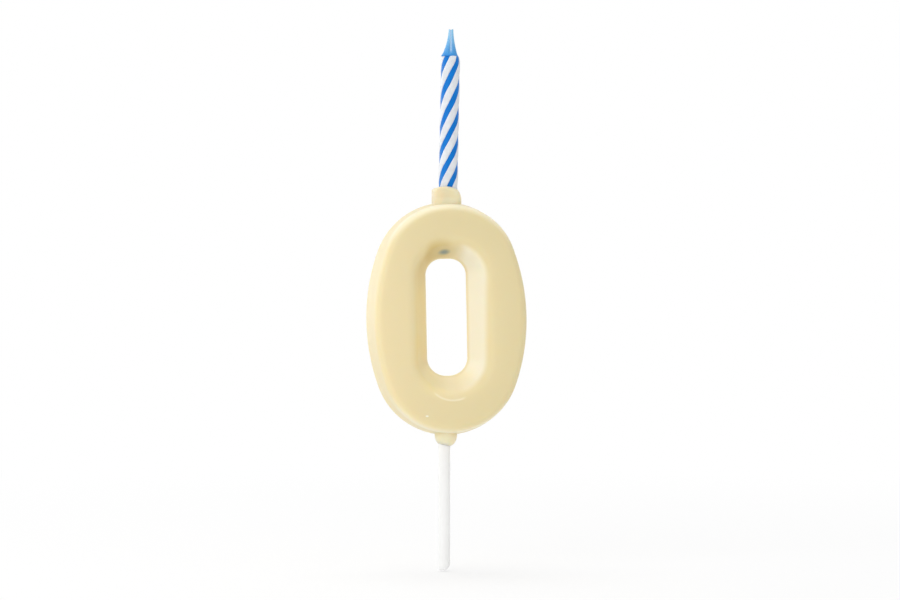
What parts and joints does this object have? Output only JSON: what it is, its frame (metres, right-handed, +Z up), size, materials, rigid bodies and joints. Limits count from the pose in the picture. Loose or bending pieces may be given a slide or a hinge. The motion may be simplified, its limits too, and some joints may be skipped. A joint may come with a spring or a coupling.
{
  "type": "number candle",
  "caption": "Cast cream numeral zero on a round white stick, with a collar on top that holds a striped spiral birthday candle.",
  "frame": {"origin": "centre of the stick's lower end", "axes": "+Z up along the stick, -Y out of the numeral's rounded front, +Y out of its flat back"},
  "size_m": [0.043, 0.0129, 0.1435],
  "materials": {
    "cream_cast": "satin",
    "blue_wax": "satin",
    "white_wax": "satin",
    "wick_cotton": "matte",
    "stick_white": "satin"
  },
  "bodies": {
    "numeral": {"numeral": "cream_cast", "stick": "stick_white"},
    "candle": {"candle_core": "blue_wax", "white_stripe_1": "white_wax", "white_stripe_2": "white_wax", "white_stripe_3": "white_wax", "white_stripe_4": "white_wax", "wick": "wick_cotton"}
  },
  "joints": [
    {"name": "candle_pull", "type": "slide", "parent": "numeral", "child": "candle", "axis": [0.0192, 0, 0.9998], "range_m": [0, 0.019]}
  ]
}
